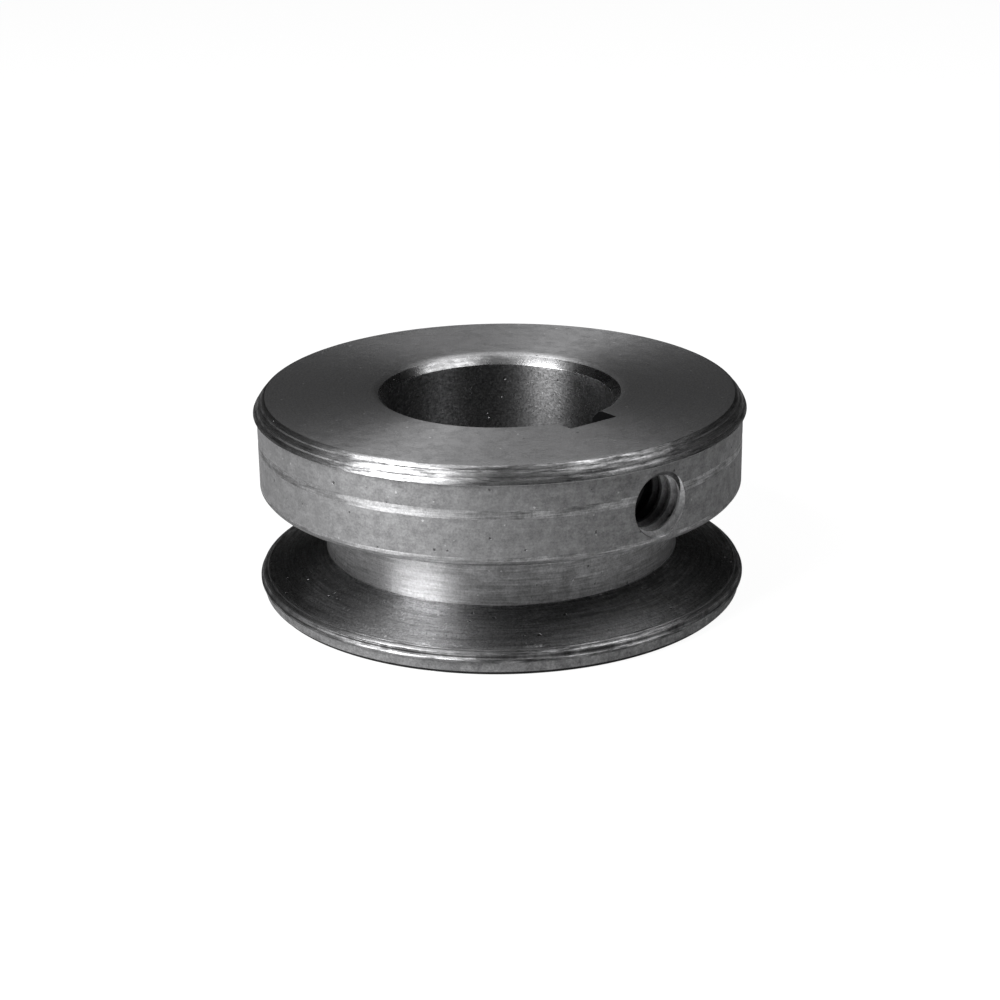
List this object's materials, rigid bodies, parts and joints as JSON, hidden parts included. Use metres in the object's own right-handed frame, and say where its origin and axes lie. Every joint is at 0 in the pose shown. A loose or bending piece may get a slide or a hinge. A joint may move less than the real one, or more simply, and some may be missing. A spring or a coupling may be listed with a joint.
{
  "type": "v belt pulley",
  "caption": "Small steel V-belt pulley with a thick collar, a keyed shaft bore, a V-shaped belt groove and a recessed set screw over the keyway.",
  "frame": {"origin": "centre of the rim flange's flat face, on the bore's axis, where the pulley stands with the bore upright", "axes": "+Z along the bore from the rim flange to the collar; +X through the middle of the keyway and along the set screw, outward"},
  "size_m": [0.055, 0.055, 0.0228],
  "materials": {
    "turned_steel": "lathe-turned, satin on the collar's side, brighter on the beads and the neck",
    "black_oxide_steel": "black oxide, lightly oiled"
  },
  "bodies": {
    "pulley": {"pulley_body": "turned_steel"},
    "screw": {"set_screw": "black_oxide_steel"}
  },
  "joints": [
    {"name": "set_screw_travel", "type": "slide", "parent": "pulley", "child": "screw", "axis": [1, 0, 0], "range_m": [-0.00141, 0.00706]}
  ]
}
